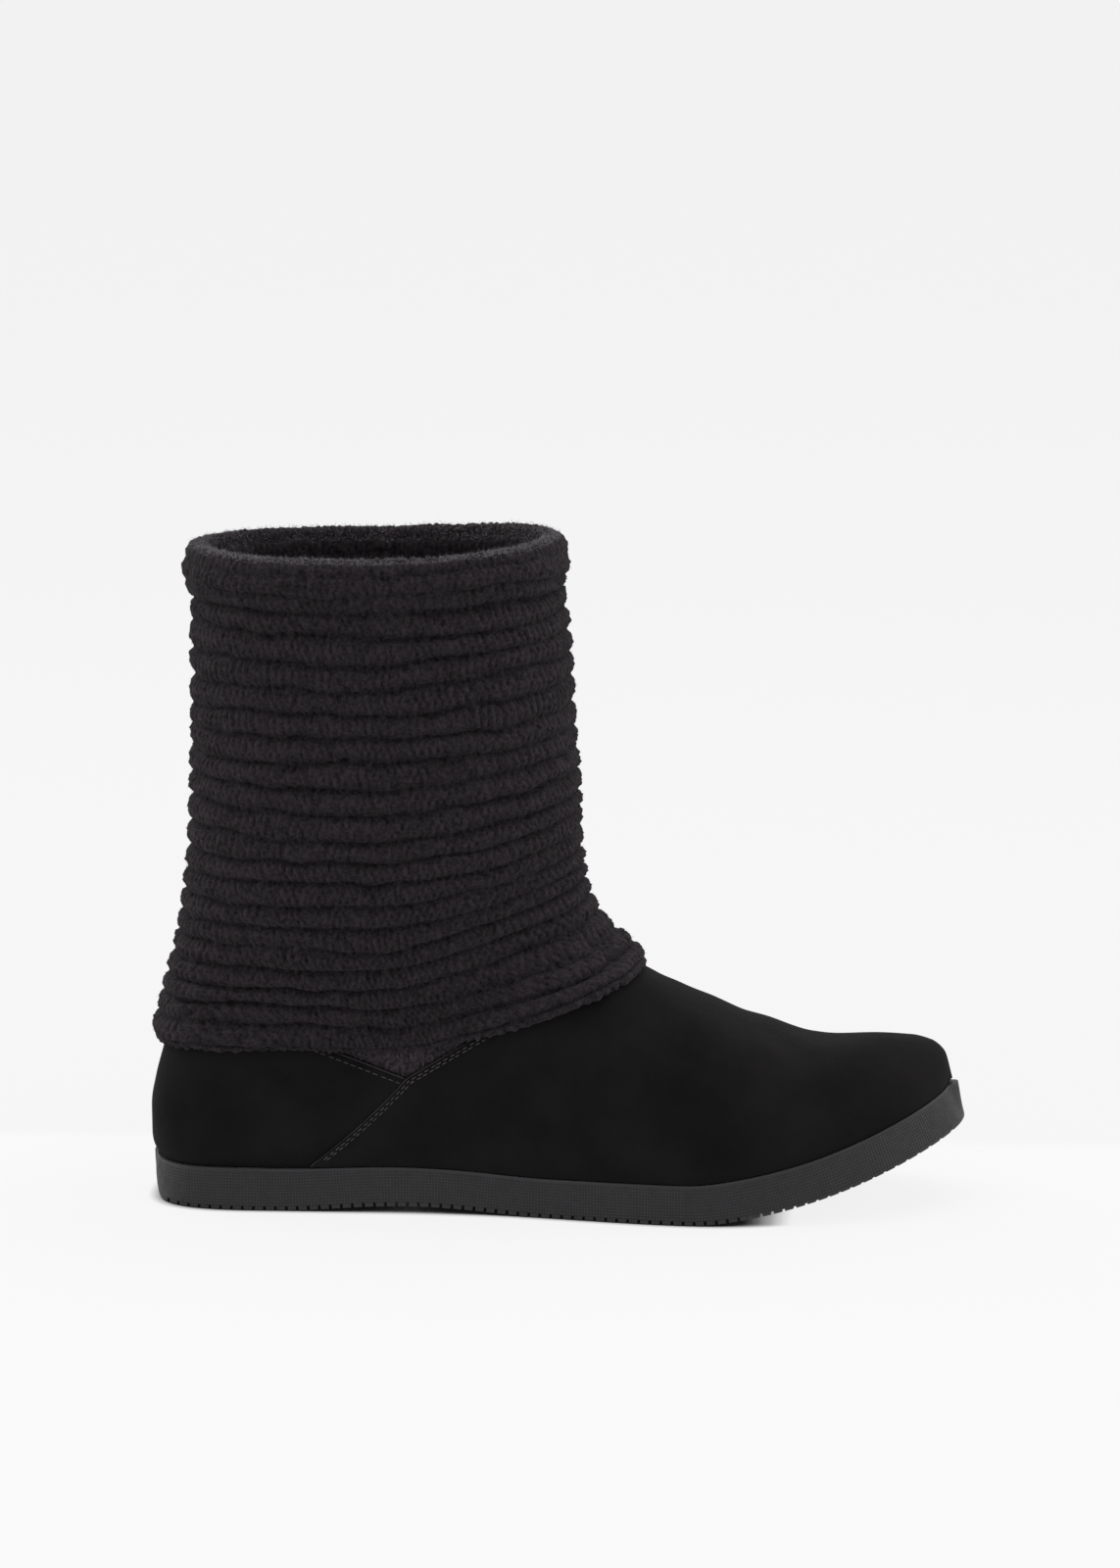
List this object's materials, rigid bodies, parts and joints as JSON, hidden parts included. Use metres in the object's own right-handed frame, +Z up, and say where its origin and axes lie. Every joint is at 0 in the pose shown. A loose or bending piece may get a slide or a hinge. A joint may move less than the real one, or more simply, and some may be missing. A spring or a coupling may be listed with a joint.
{
  "type": "winter boot",
  "caption": "Right winter ankle boot: black suede foot, ridged knitted shaft folded down over it at the rim, and a one-piece grey rubber sole with a ribbed tread.",
  "frame": {"origin": "On the floor under the middle of the heel, where the tread's heel is flat.", "axes": "+X is towards the toe. +Z is up. -Y is the outer side of the foot, which the picture shows."},
  "size_m": [0.2668, 0.108, 0.2172],
  "materials": {
    "rubber": "matt, finely knurled side",
    "insole": "matt felted cloth",
    "suede": "matt suede nap",
    "knit": "matt fuzzy knitted yarn"
  },
  "bodies": {
    "root": {"outsole": "rubber", "insole": "insole", "upper": "suede", "knit_shaft": "knit"}
  },
  "joints": []
}
